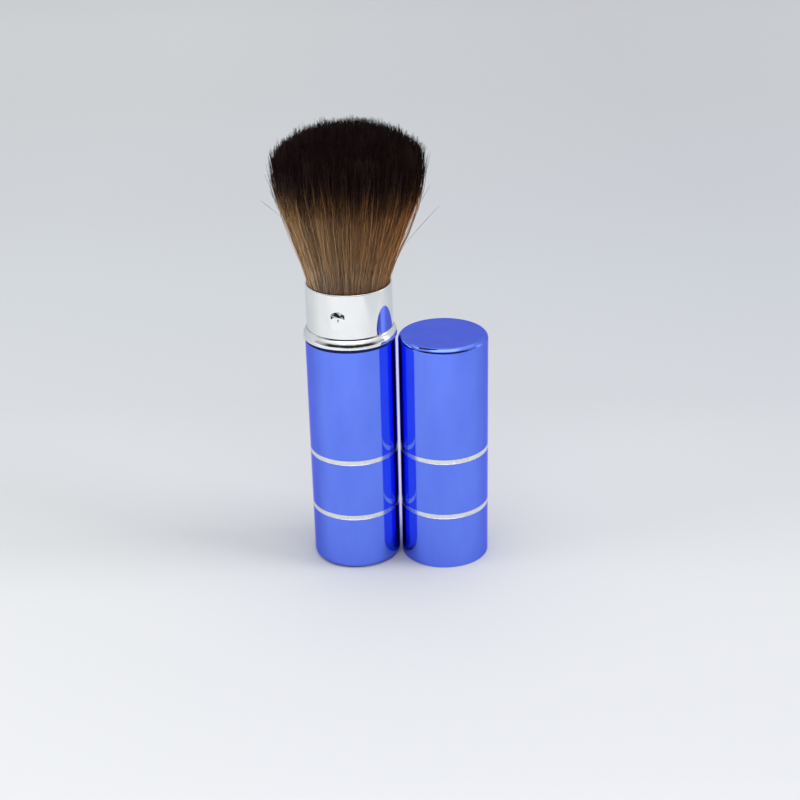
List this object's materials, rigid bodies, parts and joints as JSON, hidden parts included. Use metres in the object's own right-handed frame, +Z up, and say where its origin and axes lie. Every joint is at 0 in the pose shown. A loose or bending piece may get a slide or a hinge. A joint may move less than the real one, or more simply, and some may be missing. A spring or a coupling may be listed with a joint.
{
  "type": "retractable makeup brush",
  "caption": "Retractable makeup brush: a tubular handle with a bright sleeve that slides up over soft domed bristles, and a lift-off cap standing beside it.",
  "frame": {"origin": "centre of the handle's flat base, on the surface that the brush and its cap stand on", "axes": "+Z up along the handle, the sleeve and the bristles; the cap stands on the +X side"},
  "size_m": [0.0452, 0.0312, 0.1036],
  "materials": {
    "handle_blue": "anodised blue, glossy, with two bright cut bands",
    "cap_blue": "anodised blue, glossy, with two bright cut bands",
    "collar_bright": "bright mirror finish",
    "sleeve_bright": "bright mirror finish",
    "ferrule_metal": "plain drawn",
    "inner_plastic": "moulded, natural white",
    "ring_rubber": "matte",
    "resin": "set glue, amber",
    "thread": "twisted thread",
    "bristle_hair": "soft fibre, light brown with dark brown tips"
  },
  "bodies": {
    "handle": {"handle_shell": "handle_blue", "collar": "collar_bright", "base_plug": "inner_plastic", "core_post": "inner_plastic", "friction_ring": "ring_rubber", "ferrule": "ferrule_metal", "resin_plug": "resin", "binding_thread": "thread", "bristles": "bristle_hair"},
    "sleeve": {"sliding_sleeve": "sleeve_bright", "sleeve_foot": "inner_plastic"},
    "cap": {"cap_shell": "cap_blue"}
  },
  "joints": [
    {"name": "sleeve_slide", "type": "slide", "parent": "handle", "child": "sleeve", "axis": [0, 0, 1], "range_m": [0, 0.037], "deforming": ["bristles"]},
    {"name": "cap_lift", "type": "slide", "parent": "handle", "child": "cap", "axis": [0.6, 0, 0.8], "range_m": [0, 0.13]}
  ]
}
